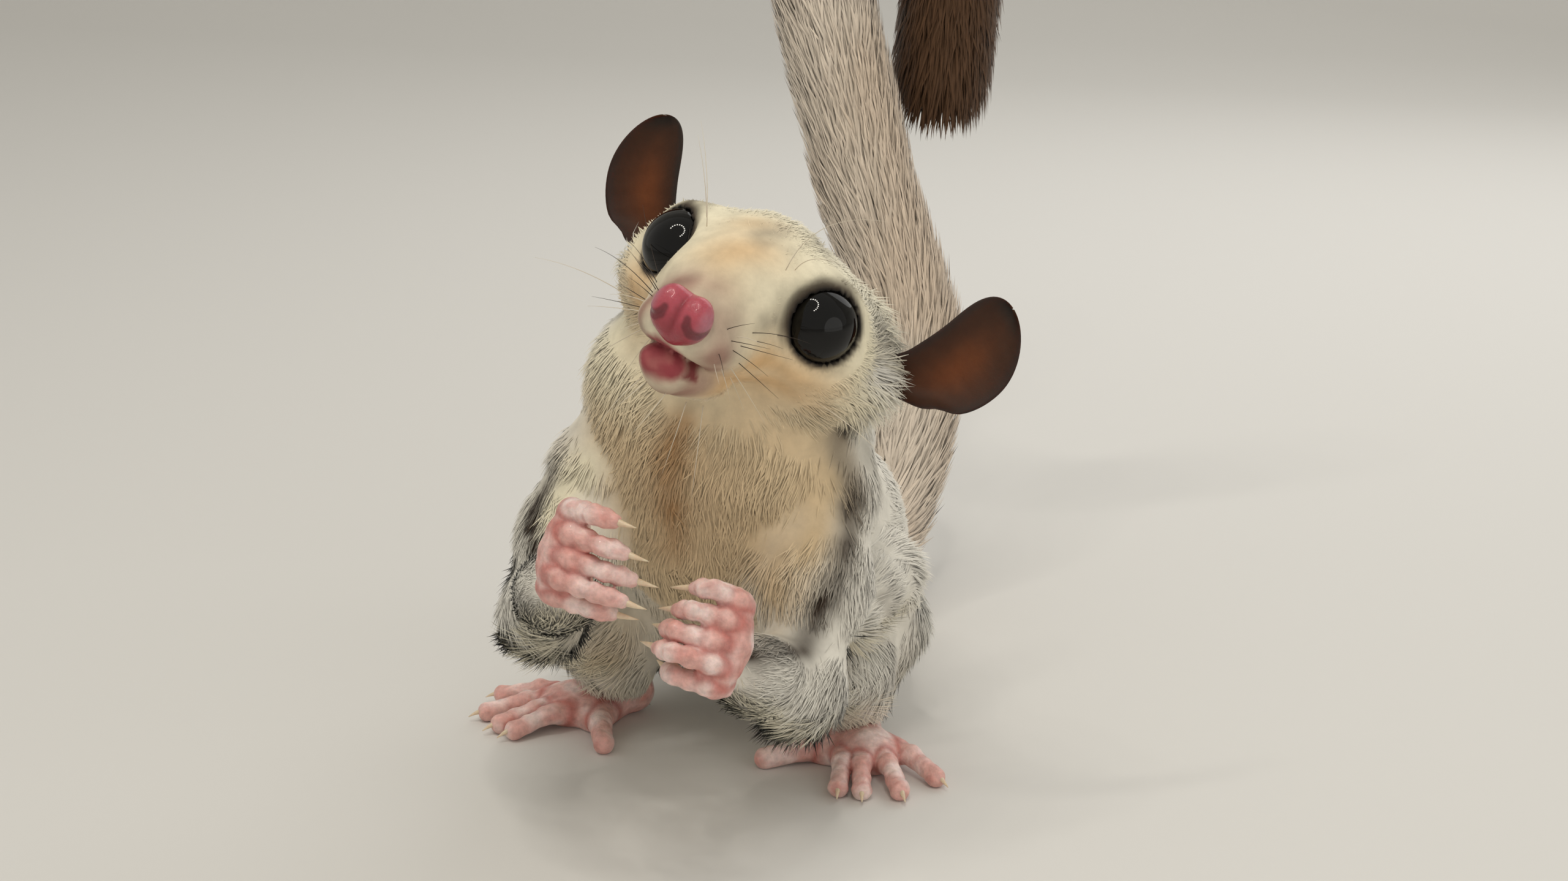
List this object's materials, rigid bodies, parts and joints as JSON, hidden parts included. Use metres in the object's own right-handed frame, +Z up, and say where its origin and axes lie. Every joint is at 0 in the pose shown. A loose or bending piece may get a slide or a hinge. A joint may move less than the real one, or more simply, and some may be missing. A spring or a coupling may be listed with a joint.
{
  "type": "sugar glider model",
  "caption": "Still life-size model of a pale sugar glider that sits up on its hind feet, holds both hands before its chest and carries its tail raised and curled over.",
  "frame": {"origin": "middle of the small flat under the rump, on the floor that the animal rests on", "axes": "+Z up, the body faces -Y, its left side is +X"},
  "size_m": [0.0775, 0.1438, 0.1231],
  "materials": {
    "coat_cream": "soft short cream fur, yellower on face, chest and throat",
    "coat_grey": "soft white-grey fur with dark grey-brown streaks",
    "tail_fur": "soft bushy beige fur",
    "tail_tip_fur": "soft bushy dark brown fur",
    "skin_pink": "bare wrinkled pink skin with red creases and cream claws",
    "nose_skin": "moist rose-pink bare nose",
    "ear_skin": "thin bare brown skin with a dark grey rim",
    "eye_gloss": "wet glossy black"
  },
  "bodies": {
    "root": {"torso": "coat_cream", "neck": "coat_cream", "head": "coat_cream", "jaw": "skin_pink", "nose": "nose_skin", "eye_left": "eye_gloss", "eye_right": "eye_gloss", "ear_left": "ear_skin", "ear_right": "ear_skin", "upper_arm_left": "coat_grey", "upper_arm_right": "coat_grey", "forearm_left": "coat_grey", "forearm_right": "coat_grey", "hand_left": "skin_pink", "hand_right": "skin_pink", "thigh_left": "coat_grey", "thigh_right": "coat_grey", "shank_left": "coat_grey", "shank_right": "coat_grey", "membrane_left": "coat_grey", "membrane_right": "coat_grey", "foot_left": "skin_pink", "foot_right": "skin_pink", "tail_base": "tail_fur", "tail_middle": "tail_fur", "tail_bend": "tail_fur", "tail_tip": "tail_tip_fur"}
  },
  "joints": []
}
